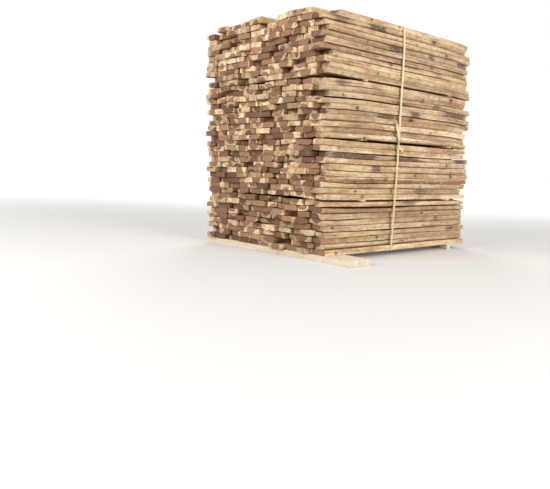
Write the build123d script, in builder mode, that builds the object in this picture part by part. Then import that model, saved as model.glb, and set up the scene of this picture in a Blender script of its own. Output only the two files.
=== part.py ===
from build123d import *
from collections import namedtuple
from math import cos, hypot, radians, sin, tan
import os
import random

# A strapped bundle of rough sawn boards on two bearers. Sizes are in millimetres.
# The boards run along Y, their end face is at -Y, the long face is at +X and Z is up.
# The origin is at the middle of the bundle's box, on the ground under the bearers.

# Bundle
stack_width = 928.0
stack_lean = 50.0                   # how far the top stands to the left of the foot
pack_courses = [9, 10, 10, 11]      # courses of boards in each pack, from the bottom up
side_scatter = 7.0                  # how far a course's outer boards stray from the side
scatter_seed = 40                   # picks one chance arrangement of the boards

# Places with no board in the uneven top, from the left, by course
bare_places = {39: [5], 40: [0]}

# Boards
board_length = 1215.0
length_scatter = 11.0
board_thickness = 28.0
thickness_scatter = 1.5
widest_board = 112.0
narrowest_board = 72.0
side_gap = 1.4                      # least space between two boards of a course
loose_gap = 3.5                     # chance space on top of it
edge_lean = 5.0                     # how far out of square a sawn edge may be
steepest_lie = 5.0                  # degrees that a board may tilt as it settles
finest_turn = 0.01                  # degrees to which its lie is worked out

# Ends of the boards
end_scatter = 17.0
far_back_share = 0.14               # share of the boards that lie well back
far_back = 48.0

# Short boards in the long face, by course, and how far their near ends lie back
short_boards = {1: 15.0, 2: 19.0, 3: 12.0, 4: 17.0, 5: 21.0, 6: 13.0, 15: 26.0, 33: 48.0,
                40: 110.0}

# Wane, the rounded edge that the outside of the log leaves on a board
wane_share = 0.34                   # share of the corners of the sections that have it
wane_run = 26.0                     # most of the face that it takes
wane_rise = 18.0                    # most of the edge that it takes
least_wane = 5.0
wane_limit = 0.45                   # most of any side of the section that it takes
wane_crown = 0.34                   # how far it bulges from a flat towards the corner
wane_facets = 3

# Thin laths between the packs
lath_thickness = 7.0
lath_width = 42.0
lath_overhang = 2.0
lath_places = [0.235, 0.855]        # along the boards, from the near end

# Bearers under the bundle
bearer_height = 30.0
bearer_edge = 1.5
near_bearer_width = 150.0
near_bearer_inset = 4.0             # from the average line of the near ends
near_bearer_overhang = 170.0        # past the long face at +X
far_bearer_width = 34.0
far_bearer_place = 0.880            # along the boards, from the near end

# Strap
strap_width = 15.0
strap_thickness = 0.9
strap_clearance = 0.5
finest_step = 0.1                   # closer corners count as one on the strap's line
strap_top_place = 0.494             # along the boards, from the near end
strap_slant = 4.2                   # degrees off plumb on the sides

# Seal and free ends of the strap
seal_height = 596.0                 # above the ground, about
seal_length = 24.0
seal_wall = 0.4
seal_slack = 0.05
upper_end_length = 80.0
upper_end_swing = 27.0              # degrees away from the strap's run
lower_end_length = 26.0
lower_end_swing = 70.0
end_bend_radius = 20.0
end_lift = 7.0                      # degrees that the free ends stand off the bundle

Board = namedtuple("Board", "outline near length")
chance = random.Random(scatter_seed)


# A section is a list of (x, z) points, anticlockwise
def turned(outline, angle):
    across = cos(radians(angle))
    up = sin(radians(angle))
    return [(x * across - z * up, x * up + z * across) for x, z in outline]


def moved(outline, right, up):
    return [(x + right, z + up) for x, z in outline]


def left_end(outline):
    return min(x for x, z in outline)


def right_end(outline):
    return max(x for x, z in outline)


# The highest or the lowest point of a section over the place x
def level(outline, x, pick):
    found = []
    for (x0, z0), (x1, z1) in zip(outline, outline[1:] + outline[:1]):
        if x0 <= x < x1 or x1 < x <= x0:
            found.append(z0 + (z1 - z0) * (x - x0) / (x1 - x0))
    return pick(found)


# The height at which a section stops when it comes down on what lies below
def stop_height(outline, below):
    left = left_end(outline)
    right = right_end(outline)
    stop = 0.0
    for other in below:
        other_left = left_end(other)
        other_right = right_end(other)
        for x, z in other:
            if left < x < right:
                stop = max(stop, z - level(outline, x, min))
        for x, z in outline:
            if other_left < x < other_right:
                stop = max(stop, level(other, x, max) - z)
    return stop


# A board turns until its middle lies as low as it can, so it rests on two points
def settled(outline, middle, below):
    left = middle + left_end(outline) - side_gap
    right = middle + right_end(outline) + side_gap
    near = [other for other in below if right_end(other) > left and left_end(other) < right]
    lie = 0.0
    step = steepest_lie / 3
    while step > finest_turn:
        tries = [lie + step * count for count in (-3, -2, -1, 0, 1, 2, 3)]
        lie = min(tries, key=lambda angle: stop_height(
            moved(turned(outline, angle), middle, 0), near))
        step = step / 3
    lying = moved(turned(outline, lie), middle, 0)
    return moved(lying, 0, stop_height(lying, near))


# The points of a waned corner, from one side of the section to the next
def wane(before, corner, after, take_before, take_after):
    ends = []
    for other, take in ((before, take_before), (after, take_after)):
        side = hypot(other[0] - corner[0], other[1] - corner[1])
        share = min(take / side, wane_limit)
        ends.append((corner[0] + (other[0] - corner[0]) * share,
                     corner[1] + (other[1] - corner[1]) * share))
    (x0, z0), (x1, z1) = ends
    points = []
    for facet in range(wane_facets + 1):
        along = facet / wane_facets
        crown = 4 * wane_crown * along * (1 - along)
        points.append((x0 + (x1 - x0) * along + crown * (corner[0] - (x0 + x1) / 2),
                       z0 + (z1 - z0) * along + crown * (corner[1] - (z0 + z1) / 2)))
    return points


# The section of one sawn board, with its middle at 0, 0
def board_outline(width, thickness):
    corners = []
    for right, up in [(-1, -1), (1, -1), (1, 1), (-1, 1)]:
        lean = chance.choice([0, 1]) * chance.uniform(0, edge_lean)
        corners.append((right * (width / 2 - lean), up * thickness / 2))
    outline = []
    for place, corner in enumerate(corners):
        run = chance.uniform(least_wane, wane_run)
        rise = chance.uniform(least_wane, wane_rise)
        takes = (rise, run) if place % 2 == 0 else (run, rise)
        if chance.random() < wane_share:
            outline += wane(corners[place - 1], corner, corners[(place + 1) % 4], *takes)
        else:
            outline.append(corner)
    return outline


# The widths of the boards of one course, drawn until it is full
def course_widths(span):
    widths = []
    left = span
    while left > widest_board:
        width = chance.uniform(narrowest_board, widest_board)
        if left - width < narrowest_board:
            width = left / 2
        widths.append(width)
        left = left - width - side_gap - loose_gap / 2
    widths.append(left)
    return widths


# Boards side by side, each settled on what lies below
def laid_course(below, lean, bare, short_by):
    edge = -stack_width / 2 - lean + chance.uniform(-side_scatter, side_scatter)
    right_side = stack_width / 2 - lean + chance.uniform(-side_scatter, side_scatter)
    boards = []
    widths = course_widths(right_side - edge)
    for place, width in enumerate(widths):
        thickness = board_thickness + chance.uniform(-thickness_scatter, thickness_scatter)
        outline = board_outline(width, thickness)
        lying = settled(outline, edge + width / 2, below)
        if left_end(lying) < edge:
            lying = settled(outline, 2 * edge + width / 2 - left_end(lying), below)
        near = chance.uniform(-end_scatter, end_scatter)
        if chance.random() < far_back_share:
            near = chance.uniform(end_scatter, far_back)
        length = board_length + chance.uniform(-length_scatter, length_scatter)
        if short_by > 0 and place == len(widths) - 1:
            near = short_by
            length = length - short_by
        if place not in bare:
            boards.append(Board(lying, near, length))
        edge = right_end(lying) + side_gap + chance.uniform(0, loose_gap)
    return boards


# Lay the bundle course by course, with laths between one pack and the next
bearer_top = [(-stack_width, 0), (stack_width, 0),
              (stack_width, bearer_height), (-stack_width, bearer_height)]
lath_reach = stack_width / 2 + lath_overhang
lath = [(-lath_reach, -lath_thickness / 2), (lath_reach, -lath_thickness / 2),
        (lath_reach, lath_thickness / 2), (-lath_reach, lath_thickness / 2)]
courses = []
laths = []
last = [bearer_top]
below = last
for pack, count in enumerate(pack_courses):
    if pack > 0:
        laths.append(settled(lath, -stack_lean * pack / len(pack_courses), below))
        last = [laths[-1]]
        below = last
    for course in range(count):
        number = len(courses) + 1
        lean = stack_lean * (number - 1) / (sum(pack_courses) - 1)
        boards = laid_course(below, lean, bare_places.get(number, []),
                             short_boards.get(number, 0))
        courses.append(boards)
        outlines = [board.outline for board in boards]
        below = last + outlines
        last = outlines

# Put the middle of the whole bundle's box over the origin
every_board = [board for boards in courses for board in boards]
left_side = min(left_end(board.outline) for board in every_board)
left_side = left_side - strap_clearance - strap_thickness
shift_x = -(left_side + stack_width / 2 + near_bearer_overhang) / 2
first_end = min(board.near for board in every_board)
last_end = max(board.near + board.length for board in every_board)
shift_y = -(first_end + last_end) / 2


def sawn_board(board):
    with BuildPart() as sawn:
        with BuildSketch(Plane.XZ.offset(-(board.near + shift_y))):
            with BuildLine():
                Polyline(moved(board.outline, shift_x, 0), close=True)
            make_face()
        extrude(amount=-board.length)
    return sawn.part


# A closed line with no two points closer than the strap can follow
def spaced(line):
    kept = [line[0]]
    for x, z in line[1:]:
        if hypot(x - kept[-1][0], z - kept[-1][1]) > finest_step:
            kept.append((x, z))
    if hypot(kept[0][0] - kept[-1][0], kept[0][1] - kept[-1][1]) < finest_step:
        kept.pop()
    return kept


# The tight line that a strap takes round all the sections
def tight_line(points):
    line = []
    for ordered in (sorted(points), sorted(points, reverse=True)):
        chain = []
        for x, z in ordered:
            while len(chain) > 1:
                (x0, z0), (x1, z1) = chain[-2:]
                if (x1 - x0) * (z - z0) - (z1 - z0) * (x - x0) > 0:
                    break
                chain.pop()
            chain.append((x, z))
        line += chain[:-1]
    return spaced(line)


# The same line, pushed out and cut across at its corners
def pushed_out(line, distance):
    pushed = []
    for (x0, z0), (x1, z1) in zip(line, line[1:] + line[:1]):
        out = distance / hypot(x1 - x0, z1 - z0)
        pushed.append((x0 + (z1 - z0) * out, z0 - (x1 - x0) * out))
        pushed.append((x1 + (z1 - z0) * out, z1 - (x1 - x0) * out))
    return spaced(pushed)


girth = tight_line([point for board in every_board
                    for point in moved(board.outline, shift_x, 0)])
girth_top = max(z for x, z in girth)
strap_top_y = shift_y + board_length * strap_top_place


# The strap drifts along Y as it goes down, and lies flat on the top and the underside
def strap_y(z):
    return strap_top_y - (girth_top - z) * tan(radians(strap_slant))


# The seal sits on the straight run of the long face that is nearest its height
half_seal = seal_length / 2 + end_bend_radius / 2
runs = [(low, high) for low, high in zip(girth, girth[1:] + girth[:1])
        if high[1] - low[1] > 2 * half_seal]
places = [min(max(seal_height, low[1] + half_seal), high[1] - half_seal) for low, high in runs]
seal_z, ((run_x0, run_z0), (run_x1, run_z1)) = min(
    zip(places, runs), key=lambda choice: abs(choice[0] - seal_height))
seal_x = run_x0 + (run_x1 - run_x0) * (seal_z - run_z0) / (run_z1 - run_z0)
run_up = Vector(run_x1 - run_x0, strap_y(run_z1) - strap_y(run_z0), run_z1 - run_z0).normalized()
run_out = Vector(run_z1 - run_z0, 0, run_x0 - run_x1).normalized()
strap_foot = Vector(seal_x, strap_y(seal_z), seal_z) + run_out * strap_clearance

os.makedirs("parts", exist_ok=True)

# Courses, each with its boards side by side
for number, boards in enumerate(courses, start=1):
    sawn_boards = [sawn_board(board) for board in boards]
    with BuildPart() as course:
        add(sawn_boards)
    course.part.label = f"course_{number:02d}"
    export_step(course.part, f"parts/course_{number:02d}.step")

# Laths, a pair between each pack and the next
for number, outline in enumerate(laths, start=1):
    with BuildPart() as pair:
        for place in lath_places:
            lath_near = shift_y + board_length * place - lath_width / 2
            with BuildSketch(Plane.XZ.offset(-lath_near)):
                with BuildLine():
                    Polyline(moved(outline, shift_x, 0), close=True)
                make_face()
            extrude(amount=-lath_width)
    pair.part.label = f"laths_{number}"
    export_step(pair.part, f"parts/laths_{number}.step")

# Near bearer, which sticks out past the long face
bearer_left = shift_x - stack_width / 2
with BuildPart() as near_bearer:
    with BuildSketch(Plane.XY):
        with Locations((bearer_left, shift_y + near_bearer_inset)):
            Rectangle(stack_width + near_bearer_overhang, near_bearer_width,
                      align=(Align.MIN, Align.MIN))
    extrude(amount=bearer_height)
    chamfer(near_bearer.edges().filter_by(Axis.X), length=bearer_edge)
near_bearer.part.label = "near_bearer"
export_step(near_bearer.part, "parts/near_bearer.step")

# Far bearer
with BuildPart() as far_bearer:
    with BuildSketch(Plane.XY):
        with Locations((bearer_left, shift_y + board_length * far_bearer_place)):
            Rectangle(stack_width, far_bearer_width, align=(Align.MIN, Align.CENTER))
    extrude(amount=bearer_height)
    chamfer(far_bearer.edges().filter_by(Axis.X), length=bearer_edge)
far_bearer.part.label = "far_bearer"
export_step(far_bearer.part, "parts/far_bearer.step")

# Strap, drawn on a plane that leans as the strap does and made wide along Y
slant = radians(strap_slant)
strap_plane = Plane(origin=(0, strap_y(0) - strap_width / 2, 0), x_dir=(1, 0, 0),
                    z_dir=(0, -cos(slant), sin(slant)))
outside = pushed_out(girth, strap_clearance + strap_thickness)
inside = pushed_out(girth, strap_clearance)
with BuildPart() as strap:
    with BuildSketch(strap_plane):
        with BuildLine():
            Polyline([(x, z / cos(slant)) for x, z in outside], close=True)
        make_face()
        with BuildLine():
            Polyline([(x, z / cos(slant)) for x, z in inside], close=True)
        make_face(mode=Mode.SUBTRACT)
    extrude(amount=strap_width, dir=(0, 1, 0))

    # The overlap in the seal, where the strap lies double
    with BuildSketch(Plane(origin=strap_foot, x_dir=run_up, z_dir=run_out)):
        Rectangle(seal_length, strap_width)
    extrude(amount=2 * strap_thickness)

    # The two free ends, which swing away from the strap and stand off it a little
    lift = radians(end_lift)
    for way, swing, length in [(1, upper_end_swing, upper_end_length),
                               (-1, lower_end_swing, lower_end_length)]:
        along = run_up * way
        root = strap_foot + run_out * strap_thickness + along * (seal_length / 2)
        with BuildSketch(Plane(origin=root, x_dir=along * cos(lift) + run_out * sin(lift),
                               z_dir=run_out * cos(lift) - along * sin(lift))):
            with BuildLine():
                bend = JernArc((0, 0), (1, 0), end_bend_radius, swing)
                Line(bend @ 1, bend @ 1 + (bend % 1) * length)
            trace(line_width=strap_width)
        extrude(amount=strap_thickness)
strap.part.label = "strap"
export_step(strap.part, "parts/strap.step")

# Seal, a thin sleeve crimped round both layers of the strap
hole_width = strap_width + 2 * seal_slack
hole_height = 2 * (strap_thickness + seal_slack)
with BuildPart() as strap_seal:
    with BuildSketch(Plane(origin=strap_foot + run_out * strap_thickness
                           - run_up * (seal_length / 2),
                           x_dir=run_out, z_dir=run_up)):
        RectangleRounded(hole_height + 2 * seal_wall, hole_width + 2 * seal_wall, seal_wall)
        Rectangle(hole_height, hole_width, mode=Mode.SUBTRACT)
    extrude(amount=seal_length)
strap_seal.part.label = "strap_seal"
export_step(strap_seal.part, "parts/strap_seal.step")
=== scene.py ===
import bpy
import math
import random
from mathutils import Matrix, Vector, noise


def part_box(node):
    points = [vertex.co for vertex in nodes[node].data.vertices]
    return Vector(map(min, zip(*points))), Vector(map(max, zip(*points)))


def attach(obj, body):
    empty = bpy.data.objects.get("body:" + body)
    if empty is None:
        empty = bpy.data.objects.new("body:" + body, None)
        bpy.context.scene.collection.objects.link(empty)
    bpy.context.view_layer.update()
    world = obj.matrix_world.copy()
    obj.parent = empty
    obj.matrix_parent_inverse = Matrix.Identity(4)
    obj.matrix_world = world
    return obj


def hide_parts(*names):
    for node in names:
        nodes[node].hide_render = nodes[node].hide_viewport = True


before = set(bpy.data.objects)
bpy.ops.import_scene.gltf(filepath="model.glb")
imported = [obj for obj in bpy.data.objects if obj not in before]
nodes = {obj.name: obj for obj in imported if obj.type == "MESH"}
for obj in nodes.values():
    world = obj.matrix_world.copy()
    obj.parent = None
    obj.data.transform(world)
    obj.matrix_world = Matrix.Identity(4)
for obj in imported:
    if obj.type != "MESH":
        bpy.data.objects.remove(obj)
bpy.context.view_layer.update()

from types import SimpleNamespace

print("frame loaded:", len(nodes), "nodes")

# everything is in metres; +Y runs along the boards, +X points out of the long side, Z is up


def linearColour(hexText):
    # an sRGB hex value as the linear colour that the nodes want
    parts = [int(hexText[i:i + 2], 16) / 255 for i in (1, 3, 5)]
    return [p / 12.92 if p <= 0.04045 else ((p + 0.055) / 1.055) ** 2.4 for p in parts] + [1.0]


# settings that many nodes share
asColour = {"take": 2, "data_type": "RGBA"}
smooth = {"interpolation_type": "SMOOTHSTEP"}
times = {"operation": "MULTIPLY"}


def addNode(tree, kind, inputs, take=0, **settings):
    # one node with its settings, values and links; gives back the output that is wanted, or the node
    node = tree.nodes.new("ShaderNode" + kind)
    for name, value in settings.items():
        setattr(node, name, value)
    for socket, value in inputs.items():
        if isinstance(value, bpy.types.NodeSocket):
            tree.links.new(value, node.inputs[socket])
        else:
            node.inputs[socket].default_value = value
    return node if take is None else node.outputs[take]


def newMaterial(name):
    material = bpy.data.materials.new(name)
    material.use_nodes = True
    return material, material.node_tree, material.node_tree.nodes["Principled BSDF"]


def makeActive(piece):
    if bpy.context.object and bpy.context.object.mode != "OBJECT":
        bpy.ops.object.mode_set(mode="OBJECT")
    bpy.ops.object.select_all(action="DESELECT")
    piece.select_set(True)
    bpy.context.view_layer.objects.active = piece


meshCare = {
    "merged": 0.00001,  # corners closer than this are one
    "flat": 1.0,        # faces within so many degrees are one
    "sharp": 32,        # edges sharper than this are eased
}


def copyOfNode(nodeName, pieceName):
    # a node's mesh as a new piece: its loose triangles are merged and its flat faces joined again
    mesh = nodes[nodeName].data.copy()
    mesh.name = pieceName
    mesh.materials.clear()
    piece = bpy.data.objects.new(pieceName, mesh)
    bpy.context.scene.collection.objects.link(piece)
    makeActive(piece)
    bpy.ops.object.mode_set(mode="EDIT")
    bpy.ops.mesh.select_all(action="SELECT")
    bpy.ops.mesh.remove_doubles(threshold=meshCare["merged"])
    bpy.ops.mesh.dissolve_limited(angle_limit=math.radians(meshCare["flat"]))
    bpy.ops.object.mode_set(mode="OBJECT")
    return piece


def easeEdges(piece, width):
    # a saw leaves no knife edge, so the sharp edges are taken off by a hair
    bevel = piece.modifiers.new("easedEdges", "BEVEL")
    bevel.width = width
    bevel.segments = 1
    bevel.limit_method = "ANGLE"
    bevel.angle_limit = math.radians(meshCare["sharp"])
    makeActive(piece)
    bpy.ops.object.modifier_apply(modifier=bevel.name)


def cutAcross(piece, places, axis):
    # extra cuts across the length, so that the piece can bend
    makeActive(piece)
    bpy.ops.object.mode_set(mode="EDIT")
    for place in places:
        bpy.ops.mesh.select_all(action="SELECT")
        bpy.ops.mesh.bisect(plane_co=[a * place for a in axis], plane_no=axis)
    bpy.ops.object.mode_set(mode="OBJECT")


def looseParts(mesh):
    # the separate boards of a piece, from left to right, each as the numbers of its vertices
    leader = list(range(len(mesh.vertices)))

    def leaderOf(i):
        while leader[i] != i:
            leader[i] = leader[leader[i]]
            i = leader[i]
        return i

    for edge in mesh.edges:
        leader[leaderOf(edge.vertices[1])] = leaderOf(edge.vertices[0])
    parts = {}
    for i in range(len(mesh.vertices)):
        parts.setdefault(leaderOf(i), []).append(i)
    return sorted(parts.values(), key=lambda part: min(mesh.vertices[i].co.x for i in part))


# camera: out from the near corner at about half the height, looking slightly down

cameraLook = {
    "place": (2.435, -2.765, 0.447),
    "turn": 47.98,  # degrees to the left of straight along the boards
    "tilt": -7.1,
    "roll": 2.05,
    "lens": 40.82,
    "sensor": 36,
}


def addCamera(look):
    turn, tilt, roll = (math.radians(look[k]) for k in ("turn", "tilt", "roll"))
    ahead = Vector((-math.sin(turn) * math.cos(tilt), math.cos(turn) * math.cos(tilt), math.sin(tilt)))
    right = Vector((math.cos(turn), math.sin(turn), 0))
    up = right.cross(ahead)
    across = math.cos(roll) * right + math.sin(roll) * up
    upright = -math.sin(roll) * right + math.cos(roll) * up
    camera = bpy.data.objects.new("camera", bpy.data.cameras.new("camera"))
    bpy.context.scene.collection.objects.link(camera)
    axes = Matrix((across, upright, -ahead)).transposed()
    camera.matrix_world = Matrix.Translation(look["place"]) @ axes.to_4x4()
    camera.data.lens = look["lens"]
    camera.data.sensor_width = look["sensor"]
    bpy.context.scene.camera = camera


addCamera(cameraLook)
print("camera placed")


# studio: soft lamps to the right, in front and behind, a pale floor and an even pale surround

studioLook = {
    "floor": "#DAD8D4",
    "floorSize": 60,
    "floorRoughness": 0.9,
    "floorLift": 0.10,         # how far the floor is lightened near the bundle, only for the camera
    "liftReach": (1.5, 9.0),   # between these distances the floor fades into the surround
    "surround": 0.38,
    "aim": (0, 0, 0.55),       # all lamps look at the bundle's middle
    "lamps": {
        "keyLamp": {"place": (5.0, -0.5, 2.6), "size": 1.7, "watts": 186},
        "frontLamp": {"place": (-0.4, -4.8, 2.3), "size": 2.2, "watts": 156},
        "backLamp": {"place": (-3.6, 3.4, 3.2), "size": 2.4, "watts": 110},
    },
}


def addStudio(look):
    bpy.ops.object.select_all(action="DESELECT")
    bpy.ops.mesh.primitive_plane_add(size=look["floorSize"], location=(0, 0, 0))
    floor = bpy.context.object
    floor.name = "floor"
    material, tree, shader = newMaterial("floorPaint")
    shader.inputs["Base Color"].default_value = linearColour(look["floor"])
    shader.inputs["Roughness"].default_value = look["floorRoughness"]
    shader.inputs["Emission Color"].default_value = (1, 1, 1, 1)
    path = addNode(tree, "LightPath", {}, None)
    place = addNode(tree, "TexCoord", {}, "Object")
    away = addNode(tree, "VectorMath", {0: place}, "Value", operation="LENGTH")
    start, end = look["liftReach"]
    lift = addNode(tree, "MapRange", {0: away, 1: start, 2: end, 3: look["floorLift"], 4: 1.0}, **smooth)
    lift = addNode(tree, "Math", {0: path.outputs["Is Camera Ray"], 1: lift}, **times)
    tree.links.new(lift, shader.inputs["Emission Strength"])
    floor.data.materials.append(material)
    for name, lamp in look["lamps"].items():
        light = bpy.data.lights.new(name, "AREA")
        light.shape = "SQUARE"
        light.size = lamp["size"]
        light.energy = lamp["watts"]
        holder = bpy.data.objects.new(name, light)
        bpy.context.scene.collection.objects.link(holder)
        holder.location = lamp["place"]
        towards = Vector(look["aim"]) - Vector(lamp["place"])
        holder.rotation_euler = towards.to_track_quat("-Z", "Y").to_euler()
    world = bpy.data.worlds.new("surround")
    bpy.context.scene.world = world
    world.use_nodes = True
    tree = world.node_tree
    light = tree.nodes["Background"]
    light.inputs["Color"].default_value = (1, 1, 1, 1)
    light.inputs["Strength"].default_value = look["surround"]
    seen = addNode(tree, "Background", {"Color": (1, 1, 1, 1), "Strength": 1.0})
    path = addNode(tree, "LightPath", {}, None)
    either = addNode(tree, "Math", {0: path.outputs["Is Camera Ray"], 1: path.outputs["Is Glossy Ray"]},
                     operation="ADD", use_clamp=True)
    mix = addNode(tree, "MixShader", {0: either, 1: light.outputs[0], 2: seen})
    tree.links.new(mix, tree.nodes["World Output"].inputs["Surface"])
    bpy.context.scene.view_settings.view_transform = "Standard"


addStudio(studioLook)
print("floor and lamps placed")


# the bundle's own lines: where the boards begin and end, and how the packs sag

# "near" and "far" say how far the ends of a pack hang below a straight line past the laths, or spring above
# it, first in its lowest and then in its top course: near ends at the "nearPlaces" across the width, and far
# ends at the left and right side. "rightRise" is how far the right side of its top course rises, as the
# seams under it gape, and "sideLight" how light its outer boards are
bundleLines = {
    "nearEnd": -0.626, "farEnd": 0.589,
    "leftSide": -0.53, "rightSide": 0.38,
    "lathPlaces": (0.235, 0.855),
    "hogAtTop": 0.003,      # how far the ends of the top courses hang below their middle
    "sagPower": 1.2,        # the ends hang in a slight curve
    "farthestSag": 1.1,     # for boards that stick out beyond the others
    "riseFrom": 0.8,        # the share of the width from which the right side rises
    "nearPlaces": (0.0, 0.28, 0.40, 0.75, 1.0),
    "packs": [
        {"courses": (1, 9), "rightRise": 0.010, "sideLight": 1.08,
         "near": ((0.0, 0.0, 0.0, 0.0, 0.0), (-0.013, -0.0126, -0.0125, -0.012, -0.004)),
         "far": ((0.0, 0.0), (0.0, 0.0))},
        {"courses": (10, 19), "rightRise": 0.007, "sideLight": 1.0,
         "near": ((0.005, -0.0006, -0.0075, -0.010, -0.005), (-0.003, -0.0056, -0.0067, -0.010, -0.004)),
         "far": ((0.0, 0.0), (-0.003, -0.004))},
        {"courses": (20, 29), "rightRise": 0.0, "sideLight": 0.97,
         "near": ((0.007, 0.0059, 0.0054, 0.004, 0.006), (-0.005, -0.0039, -0.0034, -0.002, 0.014)),
         "far": ((0.004, 0.009), (-0.002, 0.004))},
        {"courses": (30, 40), "rightRise": 0.0, "sideLight": 0.95,
         "near": ((0.011, 0.0099, 0.0094, 0.008, -0.006), (0.0, 0.0, 0.0, 0.0, 0.0)),
         "far": ((0.006, 0.011), (0.004, 0.004))},
    ],
}
courseCount = 40
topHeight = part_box("course_%02d" % courseCount)[1].z
boardLength = bundleLines["farEnd"] - bundleLines["nearEnd"]


def between(share, values, places=(0.0, 1.0)):
    # the value at a share of the way across, from the values at some places
    share = min(max(share, 0.0), 1.0)
    step = [k for k in range(len(places) - 1) if places[k] <= share][-1]
    part = (share - places[step]) / (places[step + 1] - places[step])
    return values[step] + (values[step + 1] - values[step]) * part


def packOf(course):
    return [pack for pack in bundleLines["packs"] if pack["courses"][0] <= course][-1]


def sag(spot, course):
    # how far a point of a course lies below where a straight board would have it
    lines = bundleLines
    pack = packOf(course)
    first, last = pack["courses"]
    up = (course - first) / (last - first)
    along = (spot.y - lines["nearEnd"]) / boardLength
    right = (spot.x - lines["leftSide"]) / (lines["rightSide"] - lines["leftSide"])
    near = between(up, [between(right, ends, lines["nearPlaces"]) for ends in pack["near"]])
    far = between(up, [between(right, ends) for ends in pack["far"]])
    nearLath, farLath = lines["lathPlaces"]
    drop = lines["hogAtTop"] * (2 * along - 1) ** 2 * spot.z / topHeight
    rising = (right - lines["riseFrom"]) / (1 - lines["riseFrom"])
    drop -= up * pack["rightRise"] * min(max(rising, 0.0), 1.0)
    past = max((nearLath - along) / nearLath, (along - farLath) / (1 - farLath), 0.0)  # how far past a lath
    hanging = near if along < nearLath else far
    return drop + hanging * min(lines["farthestSag"], past) ** lines["sagPower"]


# wood: sawn plantation acacia. The saw cuts through small logs, so every board shows its own slice of
# brown heartwood in pale sapwood: arcs and rings on its ends, long soft streaks on its faces

acaciaLook = {
    "sapPale": "#EBD9B4", "sapDeep": "#BC976F",
    "heartPale": "#A27B5A", "heartDeep": "#624034",
    "edgeBand": "#5C4138",  # the dark line where heartwood meets sapwood
    "stain": "#5A413B",     # purple brown streaks
    "fresh": "#F3E5CC",     # where the saw tore up pale fibres
    "knot": "#46301F", "wane": "#A58A6A", "bark": "#5F4A3B",
    "endDust": "#8E6D50",
    "ringSpacing": 0.0065, "ringDepth": 0.42, "endDepth": 0.35,
    "fibreDepth": 0.34, "roughness": 0.82,
}
lathLook = dict(acaciaLook, sapPale="#EAD7B2", sapDeep="#CDB088", ringDepth=0.2, fibreDepth=0.25)
bearerLook = dict(acaciaLook, sapPale="#EEE7DA", sapDeep="#DACDB6", heartPale="#DDD2BE", heartDeep="#C2B196",
                  edgeBand="#BBAA8F", endDust="#CDBEA4", ringDepth=0.2, endDepth=0.1, fibreDepth=0.2)

# patterns in the wood: noise per metre across the grain and along it, its detail and its roughness
grainPatterns = {
    "wander": (13.0, 1.9, 2.0, 0.5),
    "fibre": (380.0, 6.0, 3.0, 0.65),
    "streak": (70.0, 1.5, 3.0, 0.6),
    "patch": (17.0, 3.4, 2.0, 0.5),
    "mottle": (75.0, 30.0, 2.0, 0.6),
    "fleck": (120.0, 24.0, 2.0, 0.6),
    "drift": (11.0, 6.0, 1.0, 0.5),
}

# how a pattern becomes a share of a colour: between which two values it changes, and from what to what.
# Where it is a distance it is in metres
woodSteps = {
    "wobble": (0.0, 1.0, -0.008, 0.008),      # the outline of the heart wanders by so much
    "ringEnd": (0.35, 1.0, 0.0),              # up to the look's own ring depth
    "inHeart": (-0.004, 0.002, 1.0, 0.0),
    "border": (0.001, 0.008, 1.0, 0.0),
    "darkPatch": (0.42, 0.64, 0.0, 0.7),
    "tan": (0.38, 0.64, 0.0, 1.0),
    "deep": (0.25, 0.75, 0.0, 1.0),
    "fibreShade": (0.5, 0.8, 0.0),            # up to its fibre depth
    "drift": (0.48, 0.68, 0.0, 0.4),
    "raggedStreak": (0.3, 0.7, -0.4, 0.4),
    "stained": (0.28, 0.75, 0.0, 0.9),
    "halo": (0.06, 0.15, 0.5, 0.0),
    "core": (0.035, 0.07, 0.9, 0.0),
    "raggedKnot": (0.0, 1.0, -0.35, 0.35),
    "sideHalo": (0.8, 2.4, 0.55, 0.0),
    "sideCore": (0.5, 1.2, 0.9, 0.0),
    "barked": (0.50, 0.60, 0.0, 1.0),
    "check": (0.66, 0.70, 0.0, 0.5),
    "dusty": (0.35, 0.7, 0.0, 0.15),
    "blotch": (0.5, 0.69, 0.0, 0.58),
    "bleach": (0.48, 0.3, 0.0, 0.32),
    "onFace": (0.0, 1.0, 1.0, 0.35),          # the ends show their rings more clearly
    "rougher": (0.35, 0.65, 0.15, 1.0),
    "flecked": (0.55, 0.70, 0.0, 0.55),
    "torn": (0.42, 0.30, 0.0, 0.3),
    "brown": (0.0, 1.0, 1.0, 0.25),           # pale fibres hardly show on brown wood
    "rough": (0.3, 0.8, -0.08, 0.1),
}

woodShares = {
    "patchInTan": 0.45, "rednessInHeart": 0.55, "fibreInStain": 0.3, "skin": 0.7,
    "earlyPaleness": 0.25, "ringShade": 0.55,  # each ring is paler at first and ends in a darker line
    "fibreInRelief": 0.65,
    "borderDepth": 0.004,                     # how far inside the heart its dark line lies
    "knotsPerMetre": (8.5, 6.5, 8.5), "knotDepth": 20.0,
    "checksAround": 7.0, "checksOutwards": 25.0,
    "warmTint": (1.05, 0.95, 0.86, 1),
    "sawRidges": {"Scale": 40.0, "Distortion": 1.4, "Detail": 1.0, "Detail Scale": 0.5},
    "relief": {"Strength": 0.5, "Distance": 0.0009},
}

surfaceKinds = {"end": 1.0, "wane": 2.0}  # and 0 for a sawn face

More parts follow.
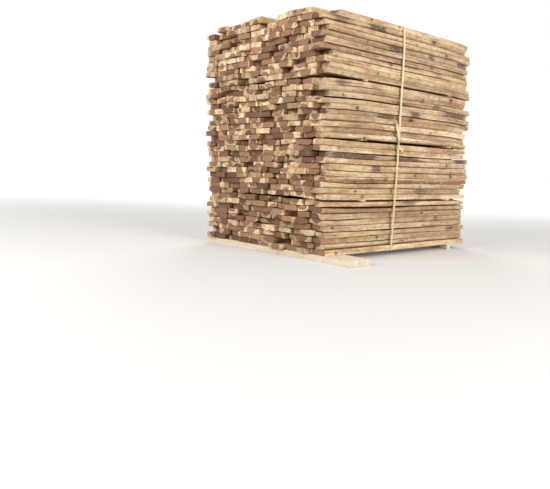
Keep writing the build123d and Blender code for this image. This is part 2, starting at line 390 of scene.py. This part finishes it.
# knots that show on the long side: course, place along the board, length in metres, height in metres
sideKnots = [
    (39, 0.718, 0.040, 0.020), (37, 0.814, 0.020, 0.015), (36, 0.250, 0.014, 0.010),
    (34, 0.585, 0.016, 0.010), (33, 0.402, 0.030, 0.022), (31, 0.322, 0.016, 0.010),
    (29, 0.872, 0.040, 0.020), (28, 0.646, 0.024, 0.014), (27, 0.114, 0.016, 0.011),
    (25, 0.194, 0.026, 0.018), (24, 0.562, 0.046, 0.022), (22, 0.700, 0.016, 0.011),
    (20, 0.240, 0.014, 0.010), (16, 0.834, 0.022, 0.015), (14, 0.878, 0.026, 0.020),
    (13, 0.382, 0.040, 0.021), (12, 0.640, 0.014, 0.010), (11, 0.202, 0.022, 0.010),
    (9, 0.414, 0.020, 0.011), (7, 0.674, 0.030, 0.012), (6, 0.778, 0.034, 0.014),
    (5, 0.062, 0.024, 0.013), (3, 0.342, 0.024, 0.012), (2, 0.520, 0.018, 0.011),
]


def sawnWood(name, look, knots=()):
    material, tree, shader = newMaterial(name)
    hue = {key: linearColour(value) for key, value in look.items() if isinstance(value, str)}
    step = {key: dict(zip((1, 2, 3, 4), values)) for key, values in woodSteps.items()}
    share = woodShares

    # metres from the heart of the tree; Y runs on from board to board, so no two are alike
    growth = addNode(tree, "Attribute", {}, "Vector", attribute_name="growth")
    own = addNode(tree, "Attribute", {}, "Vector", attribute_name="boardLook")
    own = addNode(tree, "SeparateXYZ", {0: own}, None)  # lightness, heartwood radius, redness
    surface = addNode(tree, "Attribute", {}, "Fac", attribute_name="surfaceKind")
    stain = addNode(tree, "Attribute", {}, "Fac", attribute_name="stain")
    isEnd = addNode(tree, "Math", {0: surface, 1: surfaceKinds["end"], 2: 0.3}, operation="COMPARE")
    isWane = addNode(tree, "Math", {0: surface, 1: surfaceKinds["wane"], 2: 0.3}, operation="COMPARE")

    noises = []
    for across, along, detail, roughness in grainPatterns.values():
        spread = addNode(tree, "VectorMath", {0: growth, 1: (across, along, across)}, **times)
        noises.append(addNode(tree, "TexNoise", {"Vector": spread, "Scale": 1.0, "Detail": detail,
                                                 "Roughness": roughness}))
    wander, fibre, streak, patch, mottle, fleck, drift = noises

    # a log is never quite round: its radius wanders by some millimetres over a hand's breadth
    flat = addNode(tree, "VectorMath", {0: growth, 1: (1, 0, 1)}, **times)
    radius = addNode(tree, "VectorMath", {0: flat}, "Value", operation="LENGTH")
    wobble = addNode(tree, "MapRange", {0: wander, **step["wobble"]})
    radius = addNode(tree, "Math", {0: radius, 1: wobble}, operation="ADD")

    # fast growth, 6 to 7 mm a year, each ring ending in a darker line
    rings = addNode(tree, "Math", {0: radius, 1: look["ringSpacing"]}, operation="DIVIDE")
    rings = addNode(tree, "Math", {0: rings}, operation="FRACT")
    rings = addNode(tree, "MapRange", {0: rings, **step["ringEnd"], 4: look["ringDepth"]}, **smooth)

    # the heartwood and the dark line round it
    past = addNode(tree, "Math", {0: radius, 1: own.outputs["Y"]}, operation="SUBTRACT")
    inHeart = addNode(tree, "MapRange", {0: past, **step["inHeart"]}, **smooth)
    border = addNode(tree, "Math", {0: past, 1: share["borderDepth"]}, operation="ADD")
    border = addNode(tree, "Math", {0: border}, operation="ABSOLUTE")
    border = addNode(tree, "MapRange", {0: border, **step["border"]}, **smooth)
    darkPatch = addNode(tree, "MapRange", {0: patch, **step["darkPatch"]}, **smooth)
    border = addNode(tree, "Math", {0: border, 1: darkPatch}, **times)

    tan = addNode(tree, "Mix", {0: share["patchInTan"], 2: streak, 3: patch})
    tan = addNode(tree, "MapRange", {0: tan, **step["tan"]}, **smooth)
    sap = addNode(tree, "Mix", {0: tan, 6: hue["sapPale"], 7: hue["sapDeep"]}, **asColour)
    deep = addNode(tree, "Mix", {0: share["rednessInHeart"], 2: streak, 3: own.outputs["Z"]})
    deep = addNode(tree, "MapRange", {0: deep, **step["deep"]}, **smooth)
    heart = addNode(tree, "Mix", {0: deep, 6: hue["heartPale"], 7: hue["heartDeep"]}, **asColour)
    early = addNode(tree, "MapRange", {0: rings, 1: 0.0, 2: look["ringDepth"],
                                       3: share["earlyPaleness"], 4: 0.0})
    heart = addNode(tree, "Mix", {0: early, 6: heart, 7: hue["sapDeep"]}, **asColour)
    wood = addNode(tree, "Mix", {0: inHeart, 6: sap, 7: heart}, **asColour)
    drinks = addNode(tree, "Math", {0: isEnd, 1: inHeart}, **times)  # the heart's end grain looks darker
    drinks = addNode(tree, "Math", {0: drinks, 1: look["endDepth"]}, **times)
    wood = addNode(tree, "Mix", {0: drinks, 6: wood, 7: hue["heartDeep"]}, **asColour)
    wood = addNode(tree, "Mix", {0: border, 6: wood, 7: hue["edgeBand"]}, **asColour)
    darker = addNode(tree, "Mix", {0: share["ringShade"], 6: wood, 7: hue["heartDeep"]}, **asColour)
    wood = addNode(tree, "Mix", {0: rings, 6: wood, 7: darker}, **asColour)
    fibreShade = addNode(tree, "MapRange", {0: fibre, **step["fibreShade"], 4: look["fibreDepth"]})
    wood = addNode(tree, "Mix", {0: fibreShade, 6: wood, 7: hue["heartDeep"]}, **asColour)

    # broad tan areas, a hand or two long
    drift = addNode(tree, "MapRange", {0: drift, **step["drift"]}, **smooth)
    wood = addNode(tree, "Mix", {0: drift, 6: wood, 7: hue["heartPale"]}, **asColour)

    # dark streaks with ragged ends, where the heartwood runs out to the side
    ragged = addNode(tree, "Mix", {0: share["fibreInStain"], 2: streak, 3: fibre})
    ragged = addNode(tree, "MapRange", {0: ragged, **step["raggedStreak"]})
    stained = addNode(tree, "Math", {0: stain, 1: ragged}, operation="ADD")
    stained = addNode(tree, "MapRange", {0: stained, **step["stained"]}, **smooth)
    wood = addNode(tree, "Mix", {0: stained, 6: wood, 7: hue["stain"]}, **asColour)

    # knots: where a branch left the stem, 10 to 20 mm across, dark in the middle with a brown halo
    spread = addNode(tree, "VectorMath", {0: growth, 1: share["knotsPerMetre"]}, **times)
    spots = addNode(tree, "TexVoronoi", {"Vector": spread, "Scale": 1.0}, "Distance")
    halo = addNode(tree, "MapRange", {0: spots, **step["halo"]}, **smooth)
    core = addNode(tree, "MapRange", {0: spots, **step["core"]}, **smooth)
    if knots:
        place = addNode(tree, "TexCoord", {}, "Object")
        nearest = None
        for middle, length, height in knots:
            squash = (share["knotDepth"], 2 / length, 2 / height)
            away = addNode(tree, "VectorMath", {0: place, 1: middle}, operation="SUBTRACT")
            away = addNode(tree, "VectorMath", {0: away, 1: squash}, **times)
            away = addNode(tree, "VectorMath", {0: away}, "Value", operation="LENGTH")
            nearest = addNode(tree, "Math", {0: nearest, 1: away}, operation="MINIMUM") if nearest else away
        ragged = addNode(tree, "MapRange", {0: fibre, **step["raggedKnot"]})
        nearest = addNode(tree, "Math", {0: nearest, 1: ragged}, operation="ADD")
        around = addNode(tree, "MapRange", {0: nearest, **step["sideHalo"]}, **smooth)
        inside = addNode(tree, "MapRange", {0: nearest, **step["sideCore"]}, **smooth)
        halo = addNode(tree, "Math", {0: halo, 1: around}, operation="MAXIMUM")
        core = addNode(tree, "Math", {0: core, 1: inside}, operation="MAXIMUM")
    wood = addNode(tree, "Mix", {0: halo, 6: wood, 7: hue["heartPale"]}, **asColour)
    wood = addNode(tree, "Mix", {0: core, 6: wood, 7: hue["knot"]}, **asColour)

    # wane: the log's own skin, dull and smooth, with patches of bark left on it
    barked = addNode(tree, "MapRange", {0: patch, **step["barked"]}, **smooth)
    skin = addNode(tree, "Mix", {0: barked, 6: hue["wane"], 7: hue["bark"]}, **asColour)
    skinned = addNode(tree, "Math", {0: isWane, 1: share["skin"]}, **times)
    wood = addNode(tree, "Mix", {0: skinned, 6: wood, 7: skin}, **asColour)

    # ends: the cross cut fuzzes and takes up dust, and drying opens fine checks out from the heart
    split = addNode(tree, "SeparateXYZ", {0: growth}, None)
    angle = addNode(tree, "Math", {0: split.outputs["Z"], 1: split.outputs["X"]}, operation="ARCTAN2")
    angle = addNode(tree, "Math", {0: angle, 1: share["checksAround"]}, **times)
    outwards = addNode(tree, "Math", {0: radius, 1: share["checksOutwards"]}, **times)
    ray = addNode(tree, "CombineXYZ", {0: angle, 1: split.outputs["Y"], 2: outwards})
    check = addNode(tree, "TexNoise", {"Vector": ray, "Scale": 1.0, "Detail": 1.0})
    check = addNode(tree, "MapRange", {0: check, **step["check"]})
    check = addNode(tree, "Math", {0: check, 1: isEnd}, **times)
    dusty = addNode(tree, "MapRange", {0: patch, **step["dusty"]}, **smooth)
    dusty = addNode(tree, "Math", {0: dusty, 1: isEnd}, **times)
    wood = addNode(tree, "Mix", {0: dusty, 6: wood, 7: hue["endDust"]}, **asColour)
    wood = addNode(tree, "Mix", {0: check, 6: wood, 7: hue["knot"]}, **asColour)

    # handling, dust and drying leave it mottled by the centimetre
    onFace = addNode(tree, "MapRange", {0: isEnd, **step["onFace"]})
    for key, colour in (("blotch", "heartPale"), ("bleach", "sapPale")):
        mottled = addNode(tree, "MapRange", {0: mottle, **step[key]}, **smooth)
        mottled = addNode(tree, "Math", {0: mottled, 1: onFace}, **times)
        wood = addNode(tree, "Mix", {0: mottled, 6: wood, 7: hue[colour]}, **asColour)

    # the saw leaves dark flecks, and pale ones where it tore up fibres
    rougher = addNode(tree, "MapRange", {0: patch, **step["rougher"]}, **smooth)
    brown = addNode(tree, "Math", {0: stained, 1: inHeart}, operation="MAXIMUM")
    brown = addNode(tree, "MapRange", {0: brown, **step["brown"]})
    for key, held, colour in (("flecked", rougher, "heartDeep"), ("torn", brown, "fresh")):
        flecks = addNode(tree, "MapRange", {0: fleck, **step[key]}, **smooth)
        flecks = addNode(tree, "Math", {0: flecks, 1: held}, **times)
        wood = addNode(tree, "Mix", {0: flecks, 6: wood, 7: hue[colour]}, **asColour)

    # each board has its own lightness, and is a little more or less red
    warm = addNode(tree, "Mix", {0: 1.0, 6: wood, 7: share["warmTint"]}, blend_type="MULTIPLY", **asColour)
    wood = addNode(tree, "Mix", {0: own.outputs["Z"], 6: wood, 7: warm}, **asColour)
    wood = addNode(tree, "HueSaturation", {"Value": own.outputs["X"], "Color": wood})
    tree.links.new(wood, shader.inputs["Base Color"])

    # the band saw leaves ridges some 8 mm apart across each face, and fibres stand up between them
    ridges = addNode(tree, "TexWave", {"Vector": growth, **share["sawRidges"]}, "Fac",
                     wave_type="BANDS", bands_direction="Y")
    height = addNode(tree, "Mix", {0: share["fibreInRelief"], 2: ridges, 3: fibre})
    bump = addNode(tree, "Bump", {"Height": height, **share["relief"]})
    tree.links.new(bump, shader.inputs["Normal"])
    smoothest, roughest = (look["roughness"] + step["rough"][k] for k in (3, 4))
    rough = addNode(tree, "MapRange", {0: fibre, **step["rough"], 3: smoothest, 4: roughest})
    tree.links.new(rough, shader.inputs["Roughness"])
    return material


knotSpots = []
for course, along, length, height in sideKnots:
    low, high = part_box("course_%02d" % course)
    spot = Vector((high.x, bundleLines["nearEnd"] + along * boardLength, (low.z + high.z) / 2))
    spot.z -= sag(spot, course)
    knotSpots.append((spot, length, height))
boardWood = sawnWood("sawnAcacia", acaciaLook, knotSpots)
lathWood = sawnWood("sawnLathWood", lathLook)
bearerWood = sawnWood("paleBearerWood", bearerLook)
print("wood materials made")


# boards: 40 courses in four packs, each board a little bent, twisted and out of square

boardLook = {
    "seed": 61,
    "easedEdge": 0.0007,
    "cuts": 33, "cutShares": (0.02, 0.98),  # cuts across each board, from and to these shares of its length
    "wave": 0.0010,            # small waves in each board
    "wavesPerBoard": 3.2,
    "thinning": 0.0024,        # the saw wanders, so a board is up to this much thinner in places
    "thinPlacesPerBoard": 4.6,
    "gape": (2.6, 2.5),        # a few boards are thinned far more: the most, and the power of the chance
    "leftGape": -1.2,          # the second board from the left is thicker, so no light shows through
    "sideBow": 0.0012,
    "twist": 0.018,
    "endSkew": 0.035,          # the cross cut is up to two degrees out of square
    "endReach": 0.004,         # what lies this close to an end is its cross cut
    "heartRadius": (0.028, 0.056),
    "heartUp": (0.024, 0.016), "heartSide": 0.016,  # where the heart of the log lies: middle and spread
    "heartSweep": 0.006, "heartSweepUp": 0.008,     # a log is crooked, so its heart wanders along the board
    "sweepTurns": (3.0, 2.3),  # in waves of so many radians, to the side and up
    "paleShare": 0.12, "paleHeart": 0.012,          # boards with hardly any heartwood
    "brownShare": 0.11, "brownHeart": 0.09,         # and boards that are all heartwood
    "brownOuterShare": 0.14,   # outer boards whose heartwood reaches the side
    "brownMargin": (-0.014, 0.0), "paleMargin": (0.008, 0.03),  # sapwood between the heart and the side
    "lightness": (0.62, 1.34), "outerLightness": (0.70, 1.14),
    "middleTone": 0.98, "darkSpread": 0.55, "paleSpread": 0.3,  # the lower packs vary more about the middle, their darker boards most: painted shade, the end face darker towards its foot
    "evenAt": 1.1,             # and this far up, of 2 in all, they are as drawn
    "logStep": 3.1,            # metres of log from one board to the next
    "courseStep": 37.0,        # and from one course to the next
    "endFacing": 0.8, "waneFacing": (0.30, 0.94), "leastWane": 0.0003,
    # dark streaks that show on the long side, by course: (middle along the board, half length, depth)
    "darkPlaces": {
        39: [(0.11, 0.08, 0.75), (0.33, 0.06, 1.1)],
        36: [(0.71, 0.03, 0.9), (0.45, 0.045, 0.8), (0.946, 0.035, 0.8)],
        33: [(0.742, 0.05, 0.55)],
        32: [(0.16, 0.08, 0.5)],
        29: [(0.10, 0.05, 0.6), (0.22, 0.07, 0.45)],
        27: [(0.45, 0.07, 0.4), (0.72, 0.06, 0.6)],
        26: [(0.90, 0.12, 1.0)],
        25: [(0.56, 0.05, 0.8)],
        24: [(0.354, 0.08, 1.0)],
        22: [(0.20, 0.05, 0.45)],
        21: [(0.08, 0.06, 0.6)],
        20: [(0.80, 0.07, 0.4)],
        17: [(0.08, 0.07, 0.9), (0.22, 0.07, 1.1), (0.44, 0.06, 0.5), (0.54, 0.10, 0.85), (0.93, 0.06, 0.9)],
        15: [(0.294, 0.035, 1.0)],
        13: [(0.28, 0.05, 0.7)],
        11: [(0.67, 0.09, 0.5)],
        9: [(0.56, 0.09, 0.55)],
        7: [(0.15, 0.07, 0.45)],
        4: [(0.88, 0.05, 0.6)],
        2: [(0.25, 0.05, 0.45)],
    },
    # seams that gape on the long side, by the course under them: (middle along it, half length, metres)
    "openSeams": {
        38: [(0.05, 0.10, 0.004)],
        35: [(0.36, 0.10, 0.004)],
        33: [(0.45, 0.16, 0.003)],
        32: [(0.60, 0.30, 0.003)],
        28: [(0.22, 0.14, 0.003)],
        26: [(0.25, 0.40, 0.005)],
        22: [(0.12, 0.16, 0.004), (0.42, 0.10, 0.003)],
        17: [(0.55, 0.34, 0.004)],
        12: [(0.20, 0.16, 0.004)],
        8: [(0.30, 0.22, 0.005)],
        6: [(0.12, 0.12, 0.004)],
        4: [(0.50, 0.30, 0.003)],
        2: [(0.35, 0.20, 0.003)],
    },
}


def boardCharacter(look, dice, course, width, number, outer, inwards):
    # one board's own slice of the log, tone and warp, drawn by chance; low in the bundle its tone is darker,
    # as painted shade
    up = (course or courseCount / 2) / (courseCount / 2)  # about 0 at the foot of the bundle and 2 at its top
    heart, chance = dice.uniform(*look["heartRadius"]), dice.random()
    if not outer and chance < look["paleShare"] * up:
        heart = look["paleHeart"]
    if not outer and chance > 1 - look["brownShare"] * (2 - up):  # the lower packs are browner and the upper ones paler: painted shade, the end face darker towards its foot, where less light falls
        heart = look["brownHeart"]
    heartUp = dice.choice((-1, 1)) * abs(dice.gauss(*look["heartUp"]))
    heartSide = dice.gauss(0.0, look["heartSide"])
    lightness = dice.uniform(*look["lightness"])
    spread = look["darkSpread"] if lightness < look["middleTone"] else look["paleSpread"]
    lightness = look["middleTone"] + (lightness - look["middleTone"]) * (1 + spread * (look["evenAt"] - up))
    if outer:  # most outer boards turn pale sapwood outwards
        margin = look["brownMargin" if dice.random() < look["brownOuterShare"] else "paleMargin"]
        heartSide = inwards * (heart + dice.uniform(*margin) - width / 2)
        lightness = dice.uniform(*look["outerLightness"]) * packOf(course)["sideLight"]
    mostGape, power = look["gape"]
    gape = mostGape * dice.random() ** power
    if number < 2:
        gape = look["leftGape"] * number
    darkest, palest = look["lightness"]  # the darker boards are the redder ones
    redness = 0.5 * dice.uniform(0.0, 1.0) + 0.5 * (palest - lightness) / (palest - darkest)
    own = SimpleNamespace(heart=heart, heartUp=heartUp, heartSide=heartSide, lightness=lightness,
                          redness=redness, thinning=look["thinning"] * gape)
    own.sweep = dice.uniform(-1, 1) * look["heartSweep"]
    own.sweepUp = dice.uniform(-1, 1) * look["heartSweepUp"]
    own.phase, own.start = dice.uniform(0.0, 6.28), dice.uniform(0, 50)
    own.bow = dice.uniform(-1, 1) * look["sideBow"]
    if outer:  # these bow inwards, and more
        own.bow = inwards * abs(own.bow) * 2
    own.twist = dice.uniform(-1, 1) * look["twist"]
    own.skewSide, own.skewUp = (dice.uniform(-1, 1) * look["endSkew"] for _ in range(2))
    return own


def dressWood(piece, look, dice, run, course, axis=1, darkPlaces=(), openSeams=()):
    # bends each board of the piece, skews its ends and gives it its own slice of the log
    mesh = piece.data
    for name, kind in (("growth", "FLOAT_VECTOR"), ("boardLook", "FLOAT_VECTOR"), ("stain", "FLOAT")):
        mesh.attributes.new(name, kind, "POINT")
    growth, ownLook, stain = (mesh.attributes[name] for name in ("growth", "boardLook", "stain"))
    across = 1 - axis  # 0 is X and 1 is Y
    sideTurns, upTurns = look["sweepTurns"]
    parts = looseParts(mesh)
    for number, part in enumerate(parts):
        spots = [mesh.vertices[i].co.copy() for i in part]
        low = Vector([min(s[k] for s in spots) for k in range(3)])
        high = Vector([max(s[k] for s in spots) for k in range(3)])
        middle, size = (low + high) / 2, high - low
        outer = axis == 1 and number in (0, len(parts) - 1)
        inwards = 1 if number == 0 else -1
        onLongSide = outer and inwards < 0
        own = boardCharacter(look, dice, course, size[across], number, outer, inwards)
        # a skewed end is drawn in by this, so that the board gets no longer
        lean = abs(own.skewSide) * size[across] / 2 + abs(own.skewUp) * size.z / 2
        for i, spot in zip(part, spots):
            along = (spot[axis] - low[axis]) / size[axis]
            side, rise = spot[across] - middle[across], spot.z - middle.z
            if onLongSide:
                for place, reach, depth in darkPlaces:
                    stain.data[i].value += depth * math.exp(-((along - place) / reach) ** 2)
            pithSide = own.heartSide + own.sweep * math.sin(sideTurns * along + own.phase)
            pithUp = own.heartUp + own.sweepUp * math.sin(upTurns * along + own.phase)
            placeInLog = spot[axis] + run + look["logStep"] * number
            growth.data[i].vector = (side - pithSide, placeInLog, rise - pithUp)
            ownLook.data[i].vector = (own.lightness, own.heart, own.redness)

            new = spot.copy()
            if course:
                new.z -= sag(spot, course)
            wave = noise.noise(Vector((along * look["wavesPerBoard"] + own.start, 0.3, 0.7)))
            thin = 0.5 + noise.noise(Vector((along * look["thinPlacesPerBoard"] + own.start, 9.1, 2.7)))
            new.z += look["wave"] * wave - own.thinning * min(max(thin, 0.0), 1.0) * rise / size.z
            new.z += side * own.twist * (along - 0.5)
            new[across] += own.bow * math.sin(math.pi * along)
            if onLongSide and rise > 0:
                for place, reach, depth in openSeams:
                    new.z -= depth * math.exp(-((along - place) / reach) ** 4)
            if spot[axis] - low[axis] < look["endReach"]:
                new[axis] += lean + own.skewSide * side + own.skewUp * rise
            if high[axis] - spot[axis] < look["endReach"]:
                new[axis] -= lean + own.skewSide * side - own.skewUp * rise
            mesh.vertices[i].co = new
    kind = mesh.attributes.new("surfaceKind", "FLOAT", "FACE")
    leastTilt, mostTilt = look["waneFacing"]
    for face in mesh.polygons:
        if abs(face.normal[axis]) > look["endFacing"]:
            kind.data[face.index].value = surfaceKinds["end"]
        elif leastTilt < abs(face.normal.z) < mostTilt and face.area > look["leastWane"]:
            kind.data[face.index].value = surfaceKinds["wane"]


def finishPiece(piece, nodeName, material):
    piece.data.materials.append(material)
    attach(piece, "root")
    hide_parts(nodeName)


boardFaces = 0
cutShares = [between(i / (boardLook["cuts"] - 1), boardLook["cutShares"]) for i in range(boardLook["cuts"])]
cutPlaces = [bundleLines["nearEnd"] + boardLength * share for share in cutShares]
for course in range(1, courseCount + 1):
    nodeName = "course_%02d" % course
    piece = copyOfNode(nodeName, "boards_%02d" % course)
    easeEdges(piece, boardLook["easedEdge"])
    cutAcross(piece, cutPlaces, (0, 1, 0))
    dice = random.Random(boardLook["seed"] * 100 + course)
    dressWood(piece, boardLook, dice, boardLook["courseStep"] * course, course,
              darkPlaces=boardLook["darkPlaces"].get(course, ()),
              openSeams=boardLook["openSeams"].get(course, ()))
    finishPiece(piece, nodeName, boardWood)
    boardFaces += len(piece.data.polygons)
print("boards made:", boardFaces, "faces")


# crosswise pieces are dressed like the boards, but straighter and without their chance tones

crosswiseLook = dict(boardLook, twist=0.0, paleShare=0, brownShare=0, firstCut=-0.50, cutStep=0.1)


def makeCrosswise(nodeName, pieceName, look, number, course, material):
    piece = copyOfNode(nodeName, pieceName)
    easeEdges(piece, look["easedEdge"])
    cutAcross(piece, [look["firstCut"] + look["cutStep"] * i for i in range(look["cuts"])], (1, 0, 0))
    dice = random.Random(look["seed"] + number)
    dressWood(piece, look, dice, look["logPlace"] + look["courseStep"] * number, course, axis=0)
    finishPiece(piece, nodeName, material)


# laths: thin strips across the bundle, a pair between each pack and the next

lathShape = dict(crosswiseLook, seed=700, logPlace=2000, cuts=10, easedEdge=0.0008,
                 wave=0.0006, thinning=0.0006, sideBow=0.001, endSkew=0.06,
                 heartRadius=(0.010, 0.02), lightness=(0.9, 1.1))
for number, course in ((1, 10), (2, 20), (3, 30)):
    makeCrosswise("laths_%d" % number, "lathPair_%d" % number, lathShape, number, course, lathWood)


# bearers: a broad pale plank under the near ends and a narrow batten near the far ends

bearerShape = dict(crosswiseLook, seed=800, logPlace=3000, cuts=11, easedEdge=0.0012,
                   wave=0.0, thinning=0.0, sideBow=0.0, endSkew=0.03,
                   heartRadius=(0.02, 0.03), lightness=(0.96, 1.04))
makeCrosswise("near_bearer", "nearBearerPlank", bearerShape, 1, None, bearerWood)
makeCrosswise("far_bearer", "farBearerBatten", bearerShape, 2, None, bearerWood)
print("laths and bearers made")


# strap: extruded polypropylene strapping, worn and dusty, with a faint wide diamond relief

strapLook = {
    "body": "#E1D3AB", "lower": "#DBC586", "worn": "#EDE2C6", "dust": "#C8B37C",
    "paleFrom": 0.35, "paleTo": 0.75,  # the yellow fades between these heights
    "cloudsPerMetre": 9.0, "grainPerMetre": 160.0,
    "roughness": 0.42, "refraction": 1.49,
    "ridgeScale": 15.0, "relief": {"Strength": 0.4, "Distance": 0.0003},
}


def strapPlastic(look):
    material, tree, shader = newMaterial("yellowStrapping")
    where = addNode(tree, "TexCoord", {}, "Object")
    cloud = addNode(tree, "TexNoise", {"Vector": where, "Scale": look["cloudsPerMetre"], "Detail": 3.0})
    grain = addNode(tree, "TexNoise", {"Vector": where, "Scale": look["grainPerMetre"], "Detail": 2.0})
    dusty = addNode(tree, "MapRange", {0: cloud, 1: 0.45, 2: 0.75, 4: 0.5})
    worn = addNode(tree, "MapRange", {0: grain, 1: 0.5, 2: 0.8, 4: 0.6})
    height = addNode(tree, "SeparateXYZ", {0: where}, None)
    base = linearColour(look["body"])
    fresh = addNode(tree, "MapRange", {0: height.outputs["Z"], 1: look["paleTo"], 2: look["paleFrom"]},
                    **smooth)
    for share, colour in ((fresh, "lower"), (dusty, "dust"), (worn, "worn")):
        base = addNode(tree, "Mix", {0: share, 6: base, 7: linearColour(look[colour])}, **asColour)
    tree.links.new(base, shader.inputs["Base Color"])
    shader.inputs["Roughness"].default_value = look["roughness"]
    shader.inputs["IOR"].default_value = look["refraction"]
    ridges = []
    for turn in (1, -1):  # two sets of slanting ridges cross into diamonds
        slanted = addNode(tree, "VectorMath", {0: where, 1: (turn, 1, turn)}, **times)
        ridges.append(addNode(tree, "TexWave", {"Vector": slanted, "Scale": look["ridgeScale"]}, "Fac",
                              wave_type="BANDS", bands_direction="DIAGONAL"))
    both = addNode(tree, "Math", {0: ridges[0], 1: ridges[1]}, operation="MAXIMUM")
    bump = addNode(tree, "Bump", {"Height": both, **look["relief"]})
    tree.links.new(bump, shader.inputs["Normal"])
    return material


strap = nodes["strap"]
strap.data.materials.clear()
strap.data.materials.append(strapPlastic(strapLook))
print("strap finished")


# seal: pressed zinc coated steel, folded round both layers of strap and crimped twice

sealLook = {
    "zinc": "#C0C2C2", "dull": "#9A9C9B", "spanglesPerMetre": 450.0, "metallic": 0.9,
    "roughness": (0.35, 0.60),
    "easedEdge": 0.00012,
    "crimps": (0.28, 0.70),  # shares of its height
    "crimpReach": 0.08,      # and how far each waist runs up and down
    "pinch": 0.0007, "pinchReach": 0.001,
}


def zincSteel(look):
    material, tree, shader = newMaterial("zincCoatedSteel")
    where = addNode(tree, "TexCoord", {}, "Object")
    spangle = addNode(tree, "TexVoronoi", {"Vector": where, "Scale": look["spanglesPerMetre"]}, "Color")
    shine = addNode(tree, "SeparateColor", {0: spangle})
    base = addNode(tree, "Mix", {0: shine, 6: linearColour(look["zinc"]), 7: linearColour(look["dull"])},
                   **asColour)
    tree.links.new(base, shader.inputs["Base Color"])
    shader.inputs["Metallic"].default_value = look["metallic"]
    smoothest, roughest = look["roughness"]
    rough = addNode(tree, "MapRange", {0: shine, 3: smoothest, 4: roughest})
    tree.links.new(rough, shader.inputs["Roughness"])
    return material


seal = copyOfNode("strap_seal", "crimpedSeal")
sealLow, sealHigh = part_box("strap_seal")
easeEdges(seal, sealLook["easedEdge"])
sealHeight, sealMiddle = sealHigh.z - sealLow.z, (sealLow.y + sealHigh.y) / 2
waists = [sealLow.z + sealHeight * share for share in sealLook["crimps"]]
reach = sealHeight * sealLook["crimpReach"]
cutAcross(seal, [waist + reach * k for waist in waists for k in (-1, 0, 1)], (0, 0, 1))
for vertex in seal.data.vertices:  # the jaws leave two waists
    if min(abs(vertex.co.z - waist) for waist in waists) < sealLook["pinchReach"]:
        vertex.co.y += sealLook["pinch"] if vertex.co.y < sealMiddle else -sealLook["pinch"]
finishPiece(seal, "strap_seal", zincSteel(sealLook))
print("seal finished")
